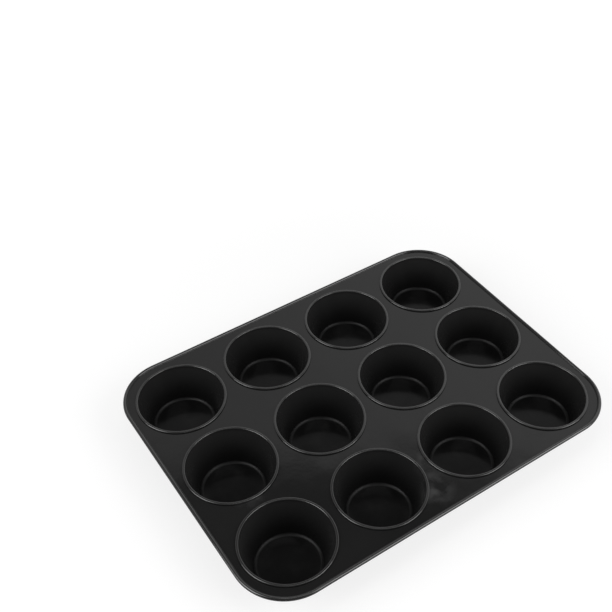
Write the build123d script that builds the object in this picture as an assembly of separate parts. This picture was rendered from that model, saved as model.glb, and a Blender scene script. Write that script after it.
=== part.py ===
from build123d import *
from math import atan2, cos, radians, sqrt, tan
import os

# A muffin tin for the oven, in millimetres: drawn cups are seamed into one top
# sheet, and the top sheet's outer edge is rolled round a steel wire.
# X runs along the longer side, Y along the shorter side and Z up. The origin is
# on the plane that the cups stand on, under the middle of the tin.

# Layout in plan
cup_columns = 4             # cups along X
cup_rows = 3                # cups along Y
web_between_cups = 7.4      # flat sheet between two neighbouring seams
end_land = 5.3              # flat sheet from the last seam to the rim, along X
side_land = 6.0             # flat sheet from the last seam to the rim, along Y
corner_radius = 42.0        # outside corner of the tin

# Cups
mouth_radius = 35.0         # inside, at the mouth
floor_radius = 25.3         # inside, where wall and floor would meet unrounded
cup_height = 31.2           # outside, from the table to the seam's crest
cup_gauge = 0.4             # thickness of the drawn sheet
floor_bend = 3.0            # inside radius between floor and wall
neck_bend = 1.5             # inside radius between wall and neck
neck_below_sheet = 0.6      # straight neck left under the top sheet

# Top sheet
sheet_gauge = 0.5           # thickness of the top sheet
rim_foot_bend = 0.5         # radius between the flat sheet and the rolled edge

# Seam that holds a cup in its hole
seam_width = 2.3            # from the mouth to the seam's outer edge
fold_bend = 0.2             # inside radius of each bend in the cup's folded edge
hook_clearance = 0.2        # open space beside each folded end

# Rim
wire_diameter = 2.0
roll_opening = 60.0         # degrees of the wire that the roll leaves open

fit_gap = 0.05              # clearance between pieces that are pressed together

# Worked out from the sizes above
seam_radius = mouth_radius + seam_width
cup_pitch = 2 * seam_radius + web_between_cups
seam_height = 2 * cup_gauge + sheet_gauge + 2 * fit_gap
sheet_top = cup_height - seam_height
sheet_bottom = sheet_top - sheet_gauge
neck_foot = sheet_bottom - neck_below_sheet
roll_inside = wire_diameter / 2 + fit_gap
roll_outside = roll_inside + sheet_gauge
collar_bend = cup_gauge / 2  # inside radius, so that the folded edge lies inside the bend

# The loop that the wire's centre follows, level with the sheet's upper face.
loop_half_x = cup_pitch * (cup_columns - 1) / 2 + seam_radius + end_land + roll_outside
loop_half_y = cup_pitch * (cup_rows - 1) / 2 + seam_radius + side_land + roll_outside
loop_corner = corner_radius - roll_outside
straight_x = loop_half_x - loop_corner
straight_y = loop_half_y - loop_corner

rim_strip = end_land / 2    # flat sheet that is carried round with the rolled edge


def cup_places():
    """Row, column and centre of every cup, counted from the low X, low Y corner."""
    for row in range(cup_rows):
        for column in range(cup_columns):
            x = (column - (cup_columns - 1) / 2) * cup_pitch
            y = (row - (cup_rows - 1) / 2) * cup_pitch
            yield row + 1, column + 1, Location((x, y, 0))


def turned(outline):
    """Solid of revolution about Z of a closed outline drawn in the XZ plane."""
    return revolve(make_face(outline), Axis.Z, 360)


def cup():
    """A drawn cup with its mouth on the Z axis.

    Flat floor, tapered wall and straight neck, then the edge goes out over the
    hole's collar, down and back in under the collar's lip.
    """
    inner_rise = neck_foot - cup_gauge
    taper = atan2(mouth_radius - floor_radius, inner_rise)
    level_shift = cup_gauge / cos(taper)
    outer_floor = floor_radius - cup_gauge * tan(taper) + level_shift
    outer_neck = mouth_radius + cup_gauge
    outer_neck_foot = (outer_neck - outer_floor) / tan(taper)
    hook_end = mouth_radius + cup_gauge + sheet_gauge + 2 * fit_gap + hook_clearance
    under_crest = cup_height - cup_gauge
    hook_top = sheet_top + cup_gauge
    outer_fold_bend = fold_bend + cup_gauge
    corners = [
        (0, cup_gauge, 0),
        (floor_radius, cup_gauge, floor_bend),
        (mouth_radius, neck_foot, neck_bend),
        (mouth_radius, cup_height, outer_fold_bend),
        (seam_radius, cup_height, outer_fold_bend),
        (seam_radius, sheet_top, outer_fold_bend),
        (hook_end, sheet_top, 0),
        (hook_end, hook_top, 0),
        (seam_radius - cup_gauge, hook_top, fold_bend),
        (seam_radius - cup_gauge, under_crest, fold_bend),
        (outer_neck, under_crest, fold_bend),
        (outer_neck, outer_neck_foot, neck_bend + cup_gauge),
        (outer_floor, 0, floor_bend + cup_gauge),
        (0, 0, 0),
    ]
    points = [(r, 0, z) for r, z, _ in corners]
    return turned(FilletPolyline(*points, radius=[bend for _, _, bend in corners], close=True))


def collar():
    """A hole's collar on the Z axis: the sheet bends up, then its lip bends outwards."""
    inside = mouth_radius + cup_gauge + fit_gap
    outside = inside + sheet_gauge
    lip_top = cup_height - cup_gauge - fit_gap
    lip_bottom = lip_top - sheet_gauge
    lip_end = seam_radius - cup_gauge - hook_clearance
    outer_bend = collar_bend + sheet_gauge
    corners = [
        (seam_radius, sheet_bottom, 0),
        (inside, sheet_bottom, outer_bend),
        (inside, lip_top, outer_bend),
        (lip_end, lip_top, 0),
        (lip_end, lip_bottom, 0),
        (outside, lip_bottom, collar_bend),
        (outside, sheet_top, collar_bend),
        (seam_radius, sheet_top, 0),
    ]
    points = [(r, 0, z) for r, z, _ in corners]
    return turned(FilletPolyline(*points, radius=[bend for _, _, bend in corners], close=True))


def carried_round(section):
    """Carry a section round the rim's loop: a straight run a side, a turn a corner.

    The section is drawn with its origin on the loop, X outwards and Y up.
    """
    sides = [
        (loop_half_x, -straight_y, 0, 2 * straight_y),
        (straight_x, loop_half_y, 90, 2 * straight_x),
        (-loop_half_x, straight_y, 180, 2 * straight_y),
        (-straight_x, -loop_half_y, 270, 2 * straight_x),
    ]
    pieces = []
    for x, y, turn, run in sides:
        start = Plane(
            origin=(x, y, sheet_top),
            x_dir=Vector(1, 0, 0).rotate(Axis.Z, turn),
            z_dir=Vector(0, -1, 0).rotate(Axis.Z, turn),
        )
        face = start * section
        side = extrude(face, amount=-run)
        centre = Vector(x, y, 0) - Vector(loop_corner, 0, 0).rotate(Axis.Z, turn)
        corner = revolve(face, Axis(centre, (0, 0, 1)), -90)
        pieces += [side, corner]
    return pieces


def rolled_edge_section():
    """Section of the sheet's rolled edge: round the wire, with a slot left below."""
    reach = 3 * roll_outside
    open_turn = radians(roll_opening)
    slot = Polygon(
        (0, -sheet_gauge),
        (-reach, -sheet_gauge),
        (-reach, -reach),
        (-(reach - sheet_gauge) / tan(open_turn), -reach),
        align=None,
    )
    roll = Circle(roll_outside) - Circle(roll_inside) - slot
    middle = (roll_inside + roll_outside) / 2
    overlap = sqrt(middle**2 - sheet_gauge**2 / 4)
    strip_length = roll_outside + rim_strip - overlap
    strip = Rectangle(strip_length, sheet_gauge, align=(Align.MAX, Align.MAX))
    section = roll + Pos(-overlap, 0) * strip
    foot = section.vertices().sort_by_distance((-roll_outside, 0, 0))[0]
    return fillet(foot, rim_foot_bend)


def top_sheet():
    """The flat sheet with its collars and its rolled edge, as one piece."""
    inset = roll_outside + rim_strip
    flat_plan = RectangleRounded(
        2 * (loop_half_x - inset),
        2 * (loop_half_y - inset),
        loop_corner - inset,
    )
    hole = Circle(seam_radius)
    for _, _, place in cup_places():
        flat_plan -= place * hole
    flat = Pos(0, 0, sheet_bottom) * extrude(flat_plan, amount=sheet_gauge)
    one_collar = collar()
    collars = [place * one_collar for _, _, place in cup_places()]
    return flat.fuse(*collars, *carried_round(rolled_edge_section()))


def rim_wire():
    """The round wire inside the rolled edge, welded into one closed loop."""
    first, *rest = carried_round(Circle(wire_diameter / 2))
    return first.fuse(*rest)


def write(name, shape):
    """Write one piece to its own file and label it with its name."""
    shape.label = name
    export_step(shape, f"parts/{name}.step")


os.makedirs("parts", exist_ok=True)
write("top_sheet", top_sheet())
write("rim_wire", rim_wire())
one_cup = cup()
for cup_row, cup_column, cup_place in cup_places():
    write(f"cup_row{cup_row}_column{cup_column}", cup_place * one_cup)
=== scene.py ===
from math import asin, atan2, cos, pi, radians, sin, sqrt, tan

import bpy
import bmesh
import numpy as np
from mathutils import Matrix, Vector


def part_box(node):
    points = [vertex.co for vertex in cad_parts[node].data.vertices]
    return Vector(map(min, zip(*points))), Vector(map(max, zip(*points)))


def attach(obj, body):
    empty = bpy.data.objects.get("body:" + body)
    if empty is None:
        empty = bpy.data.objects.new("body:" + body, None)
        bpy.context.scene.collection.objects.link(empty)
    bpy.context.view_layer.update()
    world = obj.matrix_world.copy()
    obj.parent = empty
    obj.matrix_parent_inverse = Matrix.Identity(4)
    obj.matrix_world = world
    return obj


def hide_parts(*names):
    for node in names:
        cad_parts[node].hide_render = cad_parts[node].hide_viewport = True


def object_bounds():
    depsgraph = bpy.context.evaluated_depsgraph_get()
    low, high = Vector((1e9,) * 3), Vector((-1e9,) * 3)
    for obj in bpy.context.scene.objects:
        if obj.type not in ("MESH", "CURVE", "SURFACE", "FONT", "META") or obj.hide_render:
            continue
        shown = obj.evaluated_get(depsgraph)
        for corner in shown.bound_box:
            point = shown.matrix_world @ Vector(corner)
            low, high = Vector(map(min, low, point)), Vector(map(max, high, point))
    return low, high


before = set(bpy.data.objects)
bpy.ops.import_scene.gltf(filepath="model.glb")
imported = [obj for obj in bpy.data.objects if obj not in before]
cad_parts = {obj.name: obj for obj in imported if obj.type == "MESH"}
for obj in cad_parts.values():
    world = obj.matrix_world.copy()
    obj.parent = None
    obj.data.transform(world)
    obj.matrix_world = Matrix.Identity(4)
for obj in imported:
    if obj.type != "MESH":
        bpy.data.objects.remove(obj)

cad_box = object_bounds()

# A muffin tin: drawn cups seamed into one top sheet with a wired rim.
# Lengths are in metres. X runs along the longer side, Y along the shorter side, Z up.

MM = 0.001
ROWS, COLUMNS = 3, 4


def size_of(node):
    """Width, depth and height of a node's box."""
    low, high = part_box(node)
    return [high[i] - low[i] for i in range(3)]


def centre_of(node):
    """Middle of a node's box in plan."""
    low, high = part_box(node)
    return (low[0] + high[0]) / 2, (low[1] + high[1]) / 2


def cup_name(row, column):
    return f"cup_row{row + 1}_column{column + 1}"


CUPS = [(row, column) for row in range(ROWS) for column in range(COLUMNS)]

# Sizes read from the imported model
HIGH = cad_box[1]            # the tin is centred, so this is half its length and width
CUP_CENTRES = {place: centre_of(cup_name(*place)) for place in CUPS}
CUP_HEIGHT = size_of(cup_name(0, 0))[2]
SEAM_RADIUS = size_of(cup_name(0, 0))[0] / 2
PITCH = CUP_CENTRES[0, 1][0] - CUP_CENTRES[0, 0][0]
WIRE_RADIUS = size_of("rim_wire")[2] / 2
SHEET_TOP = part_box("rim_wire")[0][2] + WIRE_RADIUS

# Sizes that the model's boxes don't give
MOUTH_RADIUS = 35.0 * MM
FLOOR_RADIUS = 25.3 * MM
CUP_GAUGE = 0.4 * MM
SHEET_GAUGE = 0.5 * MM
FIT_GAP = 0.05 * MM
FLOOR_BEND = 3.0 * MM
BEND_REACH = 0.75 * FLOOR_BEND      # how far residue spreads from the floor's corner
NECK_BEND = 1.5 * MM
NECK_BELOW_SHEET = 0.6 * MM
FOLD_BEND = 0.2 * MM
CREST_BEND = 0.8 * MM        # outside of the folded edge, eased by the coating
HOOK_CLEARANCE = 0.2 * MM
RIM_FOOT_BEND = 0.5 * MM
CORNER_RADIUS = 42.0 * MM
ROLL_OPENING = radians(60)

ROLL_INSIDE = WIRE_RADIUS + FIT_GAP
ROLL_OUTSIDE = ROLL_INSIDE + SHEET_GAUGE
SHEET_BOTTOM = SHEET_TOP - SHEET_GAUGE
LOOP_HALF = (HIGH[0] - ROLL_OUTSIDE, HIGH[1] - ROLL_OUTSIDE)
FOOT_INSET = ROLL_OUTSIDE + RIM_FOOT_BEND
FOOT_HALF = (LOOP_HALF[0] - FOOT_INSET, LOOP_HALF[1] - FOOT_INSET)
FOOT_CORNER = CORNER_RADIUS - ROLL_OUTSIDE - FOOT_INSET

SHEET_RAYS = 128            # directions sampled round each hole of the sheet
CUP_RAYS = 192              # directions sampled round each cup
WIRE_POINTS = 16            # points round the wire
FOOT_POINTS = 6             # points along the bend at the rim's foot
ROLL_OUTSIDE_POINTS = 33    # points round the outside of the rolled edge
ROLL_INSIDE_POINTS = 17     # points round its inside
FLOOR_SHARES = (0.1, 0.3, 0.5, 0.7)             # extra rings, by share of the floor's radius
WALL_SHARES = (0.2, 0.4, 0.6, 0.8)              # extra rings, by share of the wall's height
FLAT_SHARES = (1, 0.8, 0.6, 0.4, 0.24, 0.1)     # rings from a share's edge in to the seam

SHARP_FOLD = radians(40)    # folds that turn by more than this are shaded as edges
CUP_CREST_POWER = 2         # how closely the polish keeps to the top of a seam
RIM_CREST_POWER = 5         # how closely it keeps to the top of the rim
WELD = 1e-6                 # points nearer than this are one
ON_LINE = 1e-7              # a point nearer than this is on a line
TINY = 1e-9                 # anything smaller counts as nothing

WARP = 0.11 * MM            # how far the formed tin rises and falls from its middle level
WAVES = (                   # height, turn per metre along X and along Y, and start of each wave
    (1.0, 46, 21, 0.6),
    (0.8, -33, 52, 2.1),
    (0.6, 71, -38, 4.0),
    (0.5, 24, 83, 1.2),
)


# ---------------------------------------------------------------- shapes

def rounded(corners, arc_step=radians(9)):
    """Points along an open path whose corners are rounded.

    Each corner is (a, b, bend), and the ends have no bend. A bend of radius r between
    two straight runs that turn by t starts and ends r * tan(t / 2) from the corner,
    and is sampled evenly.
    """
    points = [np.array(corner[:2], float) for corner in corners]
    path = []
    for index, (_, _, bend) in enumerate(corners):
        here = points[index]
        if bend == 0:
            path.append(here[None])
            continue
        back = points[index - 1] - here
        ahead = points[index + 1] - here
        back /= np.linalg.norm(back)
        ahead /= np.linalg.norm(ahead)
        turn = pi - np.arccos(np.clip(back @ ahead, -1, 1))
        reach = bend * tan(turn / 2)
        middle = (back + ahead) / np.linalg.norm(back + ahead)
        centre = here + middle * bend / cos(turn / 2)
        start = here + back * reach - centre
        side = here + ahead * reach - centre
        side -= start * (start @ side) / (start @ start)
        side *= bend / np.linalg.norm(side)
        steps = max(2, int(np.ceil(turn / arc_step)))
        angle = np.linspace(0, turn, steps + 1)[:, None]
        path.append(centre + start * np.cos(angle) + side * np.sin(angle))
    return np.concatenate(path)


def warp(x, y):
    """Height that the forming leaves, never above zero.

    A sum of slow waves h sin(a x + b y + c) in plan, divided by the sum of their
    heights h and lowered by 1, so that it lies from 0 to 2 * WARP below flat.
    """
    waves = sum(height * np.sin(a * x + b * y + start) for height, a, b, start in WAVES)
    highest = sum(height for height, *_ in WAVES)
    return WARP * (waves / highest - 1)


def warped(points):
    """Move points with the warp, fading it out from the sheet down to the cup floors.

    At a share s of the sheet's height a point takes 3 s^2 - 2 s^3 of the warp.
    """
    share = np.clip(points[..., 2] / SHEET_BOTTOM, 0, 1)
    share = share * share * (3 - 2 * share)
    points[..., 2] += share * warp(points[..., 0], points[..., 1])
    return points


def grid_quads(rows, columns, wrap_rows=False, wrap_columns=False, start=0):
    """Quads of a grid of points numbered row by row from start."""
    r = np.arange(rows if wrap_rows else rows - 1)[:, None]
    c = np.arange(columns if wrap_columns else columns - 1)[None, :]
    r_next, c_next = (r + 1) % rows, (c + 1) % columns
    quads = np.stack(np.broadcast_arrays(
        r * columns + c, r * columns + c_next, r_next * columns + c_next, r_next * columns + c
    ), axis=-1)
    return start + quads.reshape(-1, 4)


def in_scene(name, data):
    """A new object in the scene."""
    made = bpy.data.objects.new(name, data)
    bpy.context.scene.collection.objects.link(made)
    return made


def new_piece(name, points, faces, **attributes):
    """A smooth mesh object from points and faces, with its sharp folds kept sharp.

    Each attribute is a number for every point, which the finishes read by its name.
    """
    mesh = bpy.data.meshes.new(name)
    mesh.from_pydata(points.reshape(-1, 3).tolist(), [], [face.tolist() for face in faces])
    for label, values in attributes.items():
        layer = mesh.attributes.new(label, "FLOAT", "POINT")
        layer.data.foreach_set("value", np.asarray(values, np.float32).ravel())
    work = bmesh.new()
    work.from_mesh(mesh)
    bmesh.ops.remove_doubles(work, verts=work.verts, dist=WELD)
    work.to_mesh(mesh)
    work.free()
    mesh.polygons.foreach_set("use_smooth", np.ones(len(mesh.polygons), bool))
    mesh.set_sharp_from_angle(angle=SHARP_FOLD)
    return in_scene(name, mesh)


def cup_profile():
    """Section of a cup from the middle of its inside floor round to the middle underneath."""
    inner_rise = SHEET_BOTTOM - NECK_BELOW_SHEET - CUP_GAUGE
    taper = atan2(MOUTH_RADIUS - FLOOR_RADIUS, inner_rise)
    outer_floor = FLOOR_RADIUS - CUP_GAUGE * tan(taper) + CUP_GAUGE / cos(taper)
    outer_neck = MOUTH_RADIUS + CUP_GAUGE
    outer_neck_foot = (outer_neck - outer_floor) / tan(taper)
    hook_end = outer_neck + SHEET_GAUGE + 2 * FIT_GAP + HOOK_CLEARANCE
    under_crest = CUP_HEIGHT - CUP_GAUGE
    hook_top = SHEET_TOP + CUP_GAUGE
    outer_fold = FOLD_BEND + CUP_GAUGE
    floor_rings = [(share * FLOOR_RADIUS, CUP_GAUGE, 0) for share in FLOOR_SHARES]
    wall_rings = [
        (FLOOR_RADIUS + share * inner_rise * tan(taper), CUP_GAUGE + share * inner_rise, 0)
        for share in WALL_SHARES
    ]
    return rounded([
        (0, CUP_GAUGE, 0),
        *floor_rings,
        (FLOOR_RADIUS, CUP_GAUGE, FLOOR_BEND),
        *wall_rings,
        (MOUTH_RADIUS, CUP_GAUGE + inner_rise, NECK_BEND),
        (MOUTH_RADIUS, CUP_HEIGHT, CREST_BEND),
        (SEAM_RADIUS, CUP_HEIGHT, CREST_BEND),
        (SEAM_RADIUS, SHEET_TOP, outer_fold),
        (hook_end, SHEET_TOP, 0),
        (hook_end, hook_top, 0),
        (SEAM_RADIUS - CUP_GAUGE, hook_top, FOLD_BEND),
        (SEAM_RADIUS - CUP_GAUGE, under_crest, FOLD_BEND),
        (outer_neck, under_crest, FOLD_BEND),
        (outer_neck, outer_neck_foot, NECK_BEND + CUP_GAUGE),
        (outer_floor, 0, FLOOR_BEND + CUP_GAUGE),
        (0, 0, 0),
    ])


def make_cup(row, column):
    """A drawn cup: its section turned about its own upright axis.

    x = cx + r cos a, y = cy + r sin a, z from the section, then the warp. The two
    ends of the section lie on the axis and close the floor. The crest attribute rises
    from 0 at the sheet to 1 on top of the seam, and the bend attribute is 1 round the
    corner of the inside floor and 0 from a bend's reach away.
    """
    profile = cup_profile()
    angle = np.arange(CUP_RAYS) * 2 * pi / CUP_RAYS
    ring = profile[1:-1]
    radius, height = ring[:, :1], ring[:, 1:]
    cx, cy = CUP_CENTRES[row, column]
    crest = np.clip((height - SHEET_TOP) / (CUP_HEIGHT - SHEET_TOP), 0, 1) ** CUP_CREST_POWER
    from_bend = np.hypot(radius - FLOOR_RADIUS, height - CUP_GAUGE) / BEND_REACH
    bend = np.clip(2 - 2 * from_bend, 0, 1)
    points = np.stack(np.broadcast_arrays(
        cx + radius * np.cos(angle), cy + radius * np.sin(angle), height
    ), axis=-1)
    poles = np.array([[cx, cy, profile[0, 1]], [cx, cy, profile[-1, 1]]])
    everything = warped(np.concatenate([points.reshape(-1, 3), poles]))
    quads = grid_quads(len(ring), CUP_RAYS, wrap_columns=True)[:, ::-1]
    first = np.arange(CUP_RAYS)
    following = (first + 1) % CUP_RAYS
    last_ring = (len(ring) - 1) * CUP_RAYS
    top_pole = np.full(CUP_RAYS, len(ring) * CUP_RAYS)
    bottom_pole = top_pole + 1
    top_fan = np.stack([first, following, top_pole], 1)
    bottom_fan = np.stack([last_ring + following, last_ring + first, bottom_pole], 1)

    def all_round(values):
        """A number for each ring, repeated at its points, and 0 at the poles."""
        return np.concatenate([np.broadcast_to(values, (len(ring), CUP_RAYS)).ravel(), [0, 0]])

    name = f"coated_cup_{row + 1}_{column + 1}"
    faces = [*quads, *top_fan, *bottom_fan]
    return new_piece(name, everything, faces, crest=all_round(crest), bend=all_round(bend))


def cell_edge(row, column):
    """Where the rays round a cup meet the edge of that cup's share of the sheet.

    The share is a rectangle, half a pitch wide towards a neighbour and as far as the
    rim's foot elsewhere. A ray at 45 degrees meets its corner, and rays between keep
    the tangent of their angle, so neighbours meet point to point. On a corner cup
    the outside corner is an arc, met where the ray itself crosses it. Also says
    which rays end at the rim.
    """
    cx, cy = CUP_CENTRES[row, column]
    angle = np.arange(SHEET_RAYS) * 2 * pi / SHEET_RAYS
    ray = np.stack([np.cos(angle), np.sin(angle)], axis=-1)
    ray[np.abs(ray) < TINY] = 0
    outer_x = np.where(ray[:, 0] >= 0, column == COLUMNS - 1, column == 0)
    outer_y = np.where(ray[:, 1] >= 0, row == ROWS - 1, row == 0)
    reach_x = np.where(outer_x, FOOT_HALF[0] - abs(cx), PITCH / 2)
    reach_y = np.where(outer_y, FOOT_HALF[1] - abs(cy), PITCH / 2)
    reach = np.stack([reach_x, reach_y], axis=-1)
    size = np.abs(ray)
    edge = ray / size.max(axis=1, keepdims=True) * reach
    arc_centre = np.sign(ray) * (reach - FOOT_CORNER)
    to_centre = (ray * arc_centre).sum(axis=1)
    inside = to_centre**2 - (arc_centre**2).sum(axis=1) + FOOT_CORNER**2
    far = to_centre + np.sqrt(np.maximum(inside, 0))
    on_arc = (np.abs(ray * far[:, None]) >= reach - FOOT_CORNER).all(axis=1)
    straight = (reach / np.maximum(size, TINY)).min(axis=1)
    cast = ray * np.where(on_arc, far, straight)[:, None]
    rounded_corner = outer_x & outer_y & (size > 0).all(axis=1)
    edge = np.where(rounded_corner[:, None], cast, edge)
    meets_x = size[:, 0] >= size[:, 1] - TINY
    meets_y = size[:, 1] >= size[:, 0] - TINY
    at_rim = (meets_x & outer_x) | (meets_y & outer_y)
    return edge, at_rim


def collar_profile():
    """Section of a hole's collar, from under the flat sheet round to above it."""
    inside = MOUTH_RADIUS + CUP_GAUGE + FIT_GAP
    outside = inside + SHEET_GAUGE
    lip_top = CUP_HEIGHT - CUP_GAUGE - FIT_GAP
    lip_bottom = lip_top - SHEET_GAUGE
    lip_end = SEAM_RADIUS - CUP_GAUGE - HOOK_CLEARANCE
    bend = CUP_GAUGE / 2
    return rounded([
        (SEAM_RADIUS, SHEET_BOTTOM, 0),
        (inside, SHEET_BOTTOM, bend + SHEET_GAUGE),
        (inside, lip_top, bend + SHEET_GAUGE),
        (lip_end, lip_top, 0),
        (lip_end, lip_bottom, 0),
        (outside, lip_bottom, bend),
        (outside, SHEET_TOP, bend),
        (SEAM_RADIUS, SHEET_TOP, 0),
    ], arc_step=radians(22))


def sheet_round_cup(row, column):
    """A cup's share of the sheet, as a grid of section points by rays.

    In the collar a point lies at (r cos a, r sin a). On the flat it slides in a
    straight line from the seam's circle to the share's edge.
    """
    edge, _ = cell_edge(row, column)
    angle = np.arange(SHEET_RAYS) * 2 * pi / SHEET_RAYS
    ray = np.stack([np.cos(angle), np.sin(angle)], axis=-1)
    collar = collar_profile()
    share = np.array(FLAT_SHARES)[:, None, None]
    flat = ray * SEAM_RADIUS * (1 - share) + edge * share
    turned = ray * collar[:, 0][:, None, None]
    plan = np.concatenate([flat, turned, flat[::-1]])
    height = np.concatenate([
        np.full(len(share), SHEET_BOTTOM), collar[:, 1], np.full(len(share), SHEET_TOP)
    ])
    height = np.broadcast_to(height[:, None, None], plan.shape[:2] + (1,))
    return np.concatenate([plan + CUP_CENTRES[row, column], height], axis=-1)


def rim_foot_line():
    """Points of the line where the flat sheet meets the rolled edge, and directions.

    They are the ends of the shares' rays, each once, in order round the tin, with the
    outward direction at each: square to a side, or away from a corner arc's centre.
    """
    points = []
    for place in CUPS:
        edge, at_rim = cell_edge(*place)
        points.append(edge[at_rim] + CUP_CENTRES[place])
    points = np.concatenate(points)
    _, keep = np.unique(np.round(points / WELD).astype(int), axis=0, return_index=True)
    points = points[keep]
    points = points[np.argsort(np.arctan2(points[:, 1], points[:, 0]))]
    beyond = np.abs(points) - (np.array(FOOT_HALF) - FOOT_CORNER)
    in_corner = (beyond > ON_LINE).all(axis=1)
    side = np.abs(np.abs(points) - FOOT_HALF) < ON_LINE
    outward = np.where(in_corner[:, None], beyond, side) * np.sign(points)
    return points, outward / np.linalg.norm(outward, axis=1, keepdims=True)


def arc(centre, radius, start, end, count):
    """Points on a circle from one angle to another, evenly apart."""
    angle = np.linspace(start, end, count)
    return np.stack([centre[0] + radius * np.cos(angle), centre[1] + radius * np.sin(angle)], 1)


def rolled_edge_profile():
    """Section of the rolled edge, from the sheet's top round the wire to its underside.

    Across is measured outwards from the rim's foot, and up from the sheet's top,
    which is level with the wire's centre.
    """
    wire = (FOOT_INSET, 0)
    foot_lean = atan2(RIM_FOOT_BEND, sqrt(ROLL_OUTSIDE**2 + 2 * ROLL_OUTSIDE * RIM_FOOT_BEND))
    foot_centre = (
        FOOT_INSET - (ROLL_OUTSIDE + RIM_FOOT_BEND) * cos(foot_lean),
        RIM_FOOT_BEND,
    )

    def tail_angle(radius):
        """Angle of the roll's end, at a radius from the wire's centre.

        The end lies on a line that starts below that centre, level with the sheet's
        underside, and slopes down and inwards by the roll's opening.
        """
        run = sqrt(radius**2 - (SHEET_GAUGE * cos(ROLL_OPENING)) ** 2)
        run -= SHEET_GAUGE * sin(ROLL_OPENING)
        return atan2(-SHEET_GAUGE - run * sin(ROLL_OPENING), -run * cos(ROLL_OPENING))

    underside = pi + asin(SHEET_GAUGE / ROLL_INSIDE)    # where the inside meets the sheet's
    return np.concatenate([
        [(0, 0)],
        arc(foot_centre, RIM_FOOT_BEND, -pi / 2, -foot_lean, FOOT_POINTS),
        arc(wire, ROLL_OUTSIDE, pi - foot_lean, tail_angle(ROLL_OUTSIDE), ROLL_OUTSIDE_POINTS)[1:],
        arc(wire, ROLL_INSIDE, tail_angle(ROLL_INSIDE), underside, ROLL_INSIDE_POINTS),
        [(0, -SHEET_GAUGE)],
    ])


def carried_round(profile):
    """Carry a section round the rim: foot point plus across times the outward direction."""
    foot, outward = rim_foot_line()
    across, up = profile[:, 0][:, None, None], profile[:, 1]
    plan = foot[None] + outward[None] * across
    height = np.broadcast_to((SHEET_TOP + up)[:, None, None], plan.shape[:2] + (1,))
    return np.concatenate([plan, height], axis=-1)


def make_top_sheet():
    """The sheet's flat, collars and rolled edge, joined point to point into one piece.

    The crest attribute rises from 0 at the sheet to 1 on top of the rim.
    """
    blocks, faces, count = [], [], 0
    for place in CUPS:
        share = sheet_round_cup(*place)
        blocks.append(share.reshape(-1, 3))
        faces.append(grid_quads(*share.shape[:2], wrap_columns=True, start=count))
        count += len(blocks[-1])
    rim = carried_round(rolled_edge_profile())
    blocks.append(rim.reshape(-1, 3))
    faces.append(grid_quads(*rim.shape[:2], wrap_columns=True, start=count)[:, ::-1])
    points = np.concatenate(blocks)
    crest = np.clip((points[:, 2] - SHEET_TOP) / ROLL_OUTSIDE, 0, 1) ** RIM_CREST_POWER
    return new_piece("coated_top_sheet", warped(points), np.concatenate(faces), crest=crest)


def make_rim_wire():
    """The wire's circle carried round the rim."""
    turn = -np.arange(WIRE_POINTS) * 2 * pi / WIRE_POINTS
    circle = np.stack([FOOT_INSET + WIRE_RADIUS * np.cos(turn), WIRE_RADIUS * np.sin(turn)], 1)
    loop = carried_round(circle)
    quads = grid_quads(*loop.shape[:2], wrap_rows=True, wrap_columns=True)[:, ::-1]
    return new_piece("steel_rim_wire", warped(loop), quads)


# ---------------------------------------------------------------- shader maths

class Value:
    """A number that varies over a surface. Arithmetic on it adds Math nodes."""

    def __init__(self, finish, socket):
        self.finish = finish
        self.socket = socket

    def __add__(self, other):
        return self.finish.maths("ADD", self, other)

    def __sub__(self, other):
        return self.finish.maths("SUBTRACT", self, other)

    def __rsub__(self, other):
        return self.finish.maths("SUBTRACT", other, self)

    def __mul__(self, other):
        return self.finish.maths("MULTIPLY", self, other)

    __radd__ = __add__
    __rmul__ = __mul__

    def ramp(self, low, high):
        """Rises smoothly from 0 at low to 1 at high."""
        return self.finish.value(
            "ShaderNodeMapRange", "Result", {"interpolation_type": "SMOOTHSTEP"},
            {"Value": self, "From Min": low, "From Max": high},
        )


class Finish:
    """The node tree of one material or of the world."""

    def __init__(self, tree):
        tree.nodes.clear()
        self.tree = tree

    def node(self, kind, settings=None, sockets=None):
        """A node of a kind, with its settings, then a value or a link for each socket."""
        made = self.tree.nodes.new(kind)
        for setting, value in (settings or {}).items():
            setattr(made, setting, value)
        for socket, value in (sockets or {}).items():
            if isinstance(value, Value):
                value = value.socket
            if isinstance(value, bpy.types.NodeSocket):
                self.tree.links.new(value, made.inputs[socket])
            else:
                made.inputs[socket].default_value = value
        return made

    def value(self, kind, output, settings=None, sockets=None):
        """One output of a new node, as a number for shader maths."""
        return Value(self, self.node(kind, settings, sockets).outputs[output])

    def maths(self, operation, *terms):
        return self.value("ShaderNodeMath", 0, {"operation": operation}, dict(enumerate(terms)))

    def place(self):
        """Where a point of the surface is, in metres."""
        return self.node("ShaderNodeTexCoord").outputs["Object"]

    def noise(self, where, per_metre, detail=2.0, roughness=0.5):
        return self.value("ShaderNodeTexNoise", "Fac", None, {
            "Vector": where, "Scale": per_metre, "Detail": detail, "Roughness": roughness,
        })

    def blend(self, factor, first, second):
        """A colour between two colours.

        A Mix node names its sockets alike for every kind of data, so the two colours
        and the result go by their numbers, 6, 7 and 2.
        """
        mixed = self.node("ShaderNodeMix", {"data_type": "RGBA"}, {
            "Factor": factor, 6: first, 7: second,
        })
        return mixed.outputs[2]

    def bump(self, height, distance, normal=None):
        """Normals bent as if the surface rose by the distance where the height is 1."""
        sockets = {"Height": height, "Distance": distance, "Strength": 1.0}
        if normal is not None:
            sockets["Normal"] = normal
        return self.node("ShaderNodeBump", None, sockets).outputs["Normal"]


def material(name):
    made = bpy.data.materials.new(name)
    made.use_nodes = True
    return made, Finish(made.node_tree)


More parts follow.
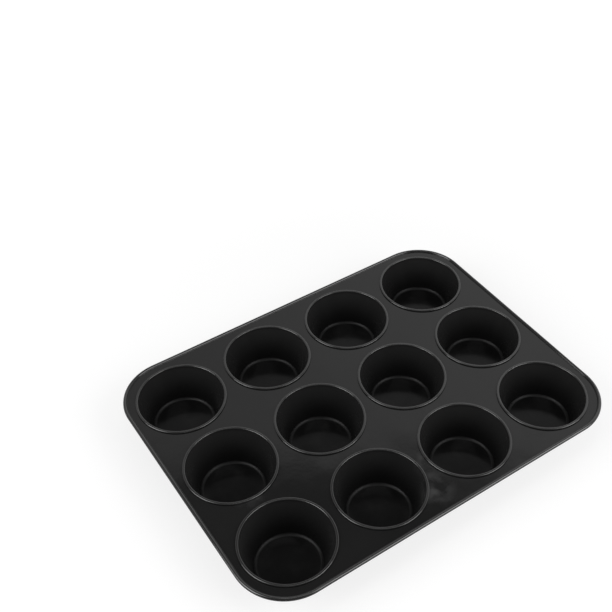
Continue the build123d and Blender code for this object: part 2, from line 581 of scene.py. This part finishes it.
def on_surface(finish, shader):
    """Make a shader the material's surface."""
    finish.node("ShaderNodeOutputMaterial", None, {"Surface": shader.outputs[0]})


def grey(level, warmth=0.0):
    """A near-grey colour, redder than blue by the warmth."""
    return (level * (1 + warmth), level, level * (1 - warmth), 1)


# ---------------------------------------------------------------- finishes

CREST_SHEEN_TONE = 0.014          # tone painted on the crests for their sheen, a painted highlight paler than the sheet
WIPE_TONE = 0.036           # grey of a greasy film
MOTTLING = 0.14             # how far the tone swings each way
GRAIN_SHARE = 0.2           # share of the mottling that is fine grain
CREST_SHEEN_SHARE = 0.6            # how much of a crest takes the painted highlight tone where nothing smears it
RESIDUE_LIFT = 1.8          # how many times paler residue is than the coating under it
RESIDUE_HEIGHTS = (1.5 * MM, 3 * MM)    # between these it fades out up the wall
FLOOR_SHADE_SHARE = 0.1            # share of a cup's height below which it has its full painted shade tone

# How much each kind of mark adds to the coating's roughness, or takes from it
CLOUD_DULLING = 0.04
SMEAR_DULLING = 0.06
GRAIN_DULLING = 0.02
FILM_DULLING = 0.15
BEND_DULLING = 0.28
CREST_SMOOTHING = 0.05

SMEAR_COVER = 0.3           # how much of the crests' clear gloss a smear hides
GLOSS_ROUGHNESS = 0.09      # roughness of that clear gloss
RIPPLE_HEIGHT = 0.3 * MM
PEEL_HEIGHT = 0.010 * MM
GRAIN_HEIGHT = 0.0012 * MM

WIPE_CORE = 0.2             # share of a wipe's reach that has the whole film
WIPES = (                   # x, y and reach of each greasy wipe on the sheet
    (-8 * MM, -106 * MM, 20 * MM),
    (4 * MM, -84 * MM, 16 * MM),
    (-126 * MM, -30 * MM, 16 * MM),
)


def wipes(finish, where):
    """1 where a wipe has left a film: patches of streaky noise that fade outwards."""
    streaks = finish.noise(where, per_metre=80, detail=3, roughness=0.6).ramp(0.36, 0.7)
    total = 0
    for x, y, reach in WIPES:
        apart = finish.value("ShaderNodeVectorMath", "Value", {"operation": "DISTANCE"}, {
            0: where, 1: (x, y, SHEET_TOP),
        })
        total = total + (1 - apart.ramp(WIPE_CORE * reach, reach))
    return total * streaks


def coating(name, tone, floor_shade_tone, gloss, shine, polish):
    """Baked charcoal coating: mottled a little, orange-peeled, polished on the crests.

    Its tone goes from one level near the sheet to another down in the cups, which on
    the cups is darker: painted shade down in their hollows. The crests take a tone of
    their own, a painted highlight for their sheen. Residue mottles the cups' floors and
    dulls the bends round them, and a few greasy wipes are left on the sheet. Gloss is
    the clean coating's roughness, shine its specular level, and polish the clear gloss
    on its crests.
    """
    made, finish = material(name)
    where = finish.place()
    clouds = finish.noise(where, per_metre=14, detail=3).ramp(0.3, 0.72)
    smears = finish.noise(where, per_metre=75, detail=4, roughness=0.62).ramp(0.5, 0.8)
    grain = finish.noise(where, per_metre=2600)
    peel = finish.noise(where, per_metre=420, detail=1.5)
    ripple = finish.noise(where, per_metre=24, detail=1.5)
    crest = finish.value("ShaderNodeAttribute", "Fac", {"attribute_name": "crest"})
    bend = finish.value("ShaderNodeAttribute", "Fac", {"attribute_name": "bend"})
    height = finish.value("ShaderNodeSeparateXYZ", "Z", None, {"Vector": where})
    # Painted shade: the tone darkens from near the sheet down towards the cups' floors where the
    # lower tone is darker
    out_of_floor_shade = height.ramp(FLOOR_SHADE_SHARE * CUP_HEIGHT, CUP_HEIGHT)
    on_floor = 1 - height.ramp(*RESIDUE_HEIGHTS)
    residue = finish.noise(where, per_metre=55, detail=3).ramp(0.45, 0.75) * on_floor
    mottle = clouds * (1 - GRAIN_SHARE) + grain * GRAIN_SHARE
    floor_shade_and_residue = finish.blend(residue, grey(floor_shade_tone), grey(floor_shade_tone * RESIDUE_LIFT, 0.01))
    high = finish.blend(mottle, grey(tone * (1 - MOTTLING)), grey(tone * (1 + MOTTLING), 0.01))
    body = finish.blend(out_of_floor_shade, floor_shade_and_residue, high)
    film = wipes(finish, where)
    filmed = finish.blend(film, body, grey(WIPE_TONE))
    # Painted highlight: the crests take a tone of their own that stands for their sheen
    crest_sheen = crest * (CREST_SHEEN_SHARE + smears * (1 - CREST_SHEEN_SHARE))
    with_crest_sheen = finish.blend(crest_sheen, filmed, grey(CREST_SHEEN_TONE, 0.02))
    roughness = gloss + clouds * CLOUD_DULLING + smears * SMEAR_DULLING + grain * GRAIN_DULLING
    roughness = roughness + film * FILM_DULLING + bend * BEND_DULLING - crest * CREST_SMOOTHING
    normal = finish.bump(ripple, RIPPLE_HEIGHT)
    normal = finish.bump(peel, PEEL_HEIGHT, normal)
    normal = finish.bump(grain, GRAIN_HEIGHT, normal)
    on_surface(finish, finish.node("ShaderNodeBsdfPrincipled", None, {
        "Base Color": with_crest_sheen,
        "Roughness": roughness,
        "Specular IOR Level": shine,
        "Coat Weight": crest * (1 - smears * SMEAR_COVER) * polish,
        "Coat Roughness": GLOSS_ROUGHNESS,
        "Normal": normal,
    }))
    return made


def drawn_steel(name):
    """Bare drawn wire: bright steel with fine blotches of dull oxide."""
    made, finish = material(name)
    where = finish.place()
    blotches = finish.noise(where, per_metre=160, detail=4, roughness=0.6).ramp(0.42, 0.7)
    grain = finish.noise(where, per_metre=3000)
    on_surface(finish, finish.node("ShaderNodeBsdfPrincipled", None, {
        "Base Color": finish.blend(blotches, grey(0.42), grey(0.2, 0.06)),
        "Roughness": 0.3 + blotches * 0.25 + grain * 0.08,
        "Metallic": 1.0,
        "Normal": finish.bump(grain, 0.003 * MM),
    }))
    return made


FLOOR_TONE = 0.3            # the floor's own grey
NEAR_GLOW = 0.74            # strength of its glow under the tin, where its light adds the rest
GLOW_REACH = (0.2, 0.7)     # between these distances from the tin its glow rises to 1


def pale_floor(name):
    """Matt pale floor. Where the camera sees it, straight or mirrored, it also glows,
    so that it is white with the tin's shadow left on it."""
    made, finish = material(name)
    seen = seen_by_camera(finish)
    apart = finish.value("ShaderNodeVectorMath", "Value", {"operation": "LENGTH"}, {
        0: finish.place(),
    })
    matt = finish.node("ShaderNodeBsdfDiffuse", None, {"Color": grey(FLOOR_TONE)})
    glow = finish.node("ShaderNodeEmission", None, {
        "Color": grey(1),
        "Strength": seen * (NEAR_GLOW + apart.ramp(*GLOW_REACH) * (1 - NEAR_GLOW)),
    })
    both = finish.node("ShaderNodeAddShader", None, {0: matt.outputs[0], 1: glow.outputs[0]})
    on_surface(finish, both)
    return made


def seen_by_camera(finish):
    """1 for what the camera sees, straight, mirrored or through glass."""
    path = finish.node("ShaderNodeLightPath")
    total = Value(finish, path.outputs["Is Camera Ray"])
    total = total + Value(finish, path.outputs["Is Glossy Ray"])
    total = total + Value(finish, path.outputs["Is Transmission Ray"])
    return finish.maths("MINIMUM", total, 1.0)


# ---------------------------------------------------------------- stage

# Azimuths are degrees round from -Y, towards +X, and elevations are above the horizon
CAMERA_AIM = Vector((0.0685, 0.1338, CUP_HEIGHT - 0.45 * MM))
CAMERA_AZIMUTH = -33.8
CAMERA_ELEVATION = 41.8
CAMERA_DISTANCE = 0.9385
CAMERA_ROLL = radians(-0.46)
LENS, SENSOR_WIDTH = 59.42, 36          # in millimetres
SHIFT_X, SHIFT_Y = -0.0547, -0.0515     # as shares of the picture's width

PLAIN_LEVEL = 0.6           # share of the room's brightness that lights matt surfaces
PANEL_TOP = 52.1            # degrees above the horizon where the pale backdrop ends
PANEL_FADE = 1.3            # degrees either side over which it ends
ROOM_LEVEL = 0.19           # brightness above the backdrop
FRONT_DIMMING = 0.75        # how much dimmer the backdrop is on the camera's side
FRONT_SPAN = (0, 0.6)       # how far a direction points that way where the dimming comes in
LEFT_LEVEL = 0.56           # brightness of its left side
RIGHT_LEVEL = 1.08          # brightness of its right side
SIDE_SPAN = (-0.3, 0.2)     # how far a direction points right where one gives way to the other

BOX_TURN = 65               # degrees round from the camera to the soft box on each side
BOX_ELEVATION = 44
BOX_HALF_WIDTH = 16         # in degrees
BOX_HALF_HEIGHT = 23        # in degrees
BOX_EDGE = 0.06             # half the width of its soft edge, as a slope
LEFT_BOX = 3.4              # brightness of the left soft box
RIGHT_BOX = 1.8             # brightness of the right soft box

FLOOR_HALF = 4.0            # half the floor's side


def direction_to(azimuth, elevation):
    """Unit direction from the tin towards an azimuth and elevation in degrees.

    With azimuth a and elevation e it is (sin a cos e, -cos a cos e, sin e).
    """
    a, e = radians(azimuth), radians(elevation)
    return Vector((sin(a) * cos(e), -cos(a) * cos(e), sin(e)))


def along(finish, direction, axis):
    """How far a direction points along an axis."""
    return finish.value("ShaderNodeVectorMath", "Value", {"operation": "DOT_PRODUCT"}, {
        0: direction, 1: axis,
    })


def soft_box(finish, direction, azimuth):
    """1 in a soft-edged window of the sky and 0 elsewhere.

    With f, r and u the window's middle, right and up directions, and w and h half its
    width and height as angles, a direction d is inside where d.f is positive and
    |d.r| < tan(w) * d.f and |d.u| < tan(h) * d.f.
    """
    middle = direction_to(azimuth, BOX_ELEVATION)
    right = direction_to(azimuth + 90, 0)
    up = middle.cross(right)
    ahead = along(finish, direction, middle)
    inside = ahead.ramp(0, 0.05)
    for axis, half in ((right, BOX_HALF_WIDTH), (up, BOX_HALF_HEIGHT)):
        reach = tan(radians(half))
        off = finish.maths("ABSOLUTE", along(finish, direction, axis)) - ahead * reach
        inside = inside * (1 - off.ramp(-BOX_EDGE, BOX_EDGE))
    return inside


def make_world():
    """Plain soft light. Mirrored in the coating it is a pale backdrop up to a height,
    dimmer on the camera's side and to the left, a dim room above that, and a bright
    soft box on each side of the camera."""
    world = bpy.data.worlds.new("studio")
    bpy.context.scene.world = world
    world.use_nodes = True
    finish = Finish(world.node_tree)
    direction = finish.node("ShaderNodeTexCoord").outputs["Generated"]
    rise = finish.value("ShaderNodeSeparateXYZ", "Z", None, {"Vector": direction})
    top, fade = radians(PANEL_TOP), radians(PANEL_FADE)
    backdrop = 1 - rise.ramp(sin(top - fade), sin(top + fade))
    front = along(finish, direction, direction_to(CAMERA_AZIMUTH, 0)).ramp(*FRONT_SPAN)
    rightwards = along(finish, direction, direction_to(CAMERA_AZIMUTH + 90, 0)).ramp(*SIDE_SPAN)
    side_level = LEFT_LEVEL + rightwards * (RIGHT_LEVEL - LEFT_LEVEL)
    backdrop = backdrop * (1 - front * FRONT_DIMMING) * side_level
    left = soft_box(finish, direction, CAMERA_AZIMUTH - BOX_TURN)
    right = soft_box(finish, direction, CAMERA_AZIMUTH + BOX_TURN)
    path = finish.node("ShaderNodeLightPath")
    straight = Value(finish, path.outputs["Is Camera Ray"])
    through = Value(finish, path.outputs["Is Transmission Ray"])
    straight = finish.maths("MAXIMUM", straight, through)
    mirrored = Value(finish, path.outputs["Is Glossy Ray"])
    room = ROOM_LEVEL + backdrop * (1 - ROOM_LEVEL)
    boxes = left * LEFT_BOX + right * RIGHT_BOX
    plain = (1 - straight) * (1 - mirrored) * room * PLAIN_LEVEL
    strength = straight + mirrored * (room + boxes) + plain
    light = finish.node("ShaderNodeBackground", None, {"Color": grey(1), "Strength": strength})
    finish.node("ShaderNodeOutputWorld", None, {"Surface": light.outputs[0]})


def make_lamp(name, azimuth, elevation, distance, size, power):
    """A rectangular soft lamp that faces the tin."""
    data = bpy.data.lights.new(name, "AREA")
    data.shape = "RECTANGLE"
    data.size, data.size_y = size
    data.energy = power
    lamp = in_scene(name, data)
    back = direction_to(azimuth, elevation)
    lamp.location = back * distance
    lamp.rotation_euler = back.to_track_quat("Z", "Y").to_euler()


def make_stage():
    """The floor, a weak lamp overhead and a soft lamp on each side of the camera."""
    mesh = bpy.data.meshes.new("floor")
    low, high = -FLOOR_HALF, FLOOR_HALF
    corners = [(low, low, 0), (high, low, 0), (high, high, 0), (low, high, 0)]
    mesh.from_pydata(corners, [], [(0, 1, 2, 3)])
    mesh.materials.append(pale_floor("pale floor"))
    in_scene("floor", mesh)
    make_lamp(
        "overhead soft box", azimuth=0, elevation=88, distance=1.4, size=(0.6, 0.4), power=1.5
    )
    for side, turn, elevation in (("left", -BOX_TURN, 34), ("right", BOX_TURN, 36)):
        make_lamp(
            f"{side} soft box", CAMERA_AZIMUTH + turn, elevation,
            distance=1.5, size=(1.0, 1.0), power=12,
        )


def make_camera():
    """Looks down over the tin's left near corner, with a slight roll and a small shift."""
    data = bpy.data.cameras.new("camera")
    data.lens = LENS
    data.sensor_width = SENSOR_WIDTH
    data.shift_x, data.shift_y = SHIFT_X, SHIFT_Y
    camera = in_scene("camera", data)
    back = direction_to(CAMERA_AZIMUTH, CAMERA_ELEVATION)
    camera.location = CAMERA_AIM + back * CAMERA_DISTANCE
    level = back.to_track_quat("Z", "Y")
    camera.rotation_mode = "QUATERNION"
    camera.rotation_quaternion = level @ Matrix.Rotation(CAMERA_ROLL, 3, "Z").to_quaternion()
    data.clip_start, data.clip_end = 0.01, 20
    bpy.context.scene.camera = camera


# ---------------------------------------------------------------- the tin

def finish_piece(piece, node, surface):
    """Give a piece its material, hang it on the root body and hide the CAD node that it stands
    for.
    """
    piece.data.materials.append(surface)
    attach(piece, "root")
    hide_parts(node)


make_camera()
make_world()
make_stage()

sheet_coating = coating(
    "charcoal coating, sheet", tone=0.008, floor_shade_tone=0.008, gloss=0.055, shine=0.33, polish=0.8
)
# The cups' copy of the coating is paler than the sheet's near the top, painted light on their
# walls, and darker at the floor, painted shade
cup_coating = coating(
    "charcoal coating, cups", tone=0.017, floor_shade_tone=0.006, gloss=0.12, shine=0.13, polish=0.9
)
finish_piece(make_top_sheet(), "top_sheet", sheet_coating)
finish_piece(make_rim_wire(), "rim_wire", drawn_steel("drawn steel wire"))
for row, column in CUPS:
    finish_piece(make_cup(row, column), cup_name(row, column), cup_coating)

bpy.context.scene.view_settings.view_transform = "Standard"
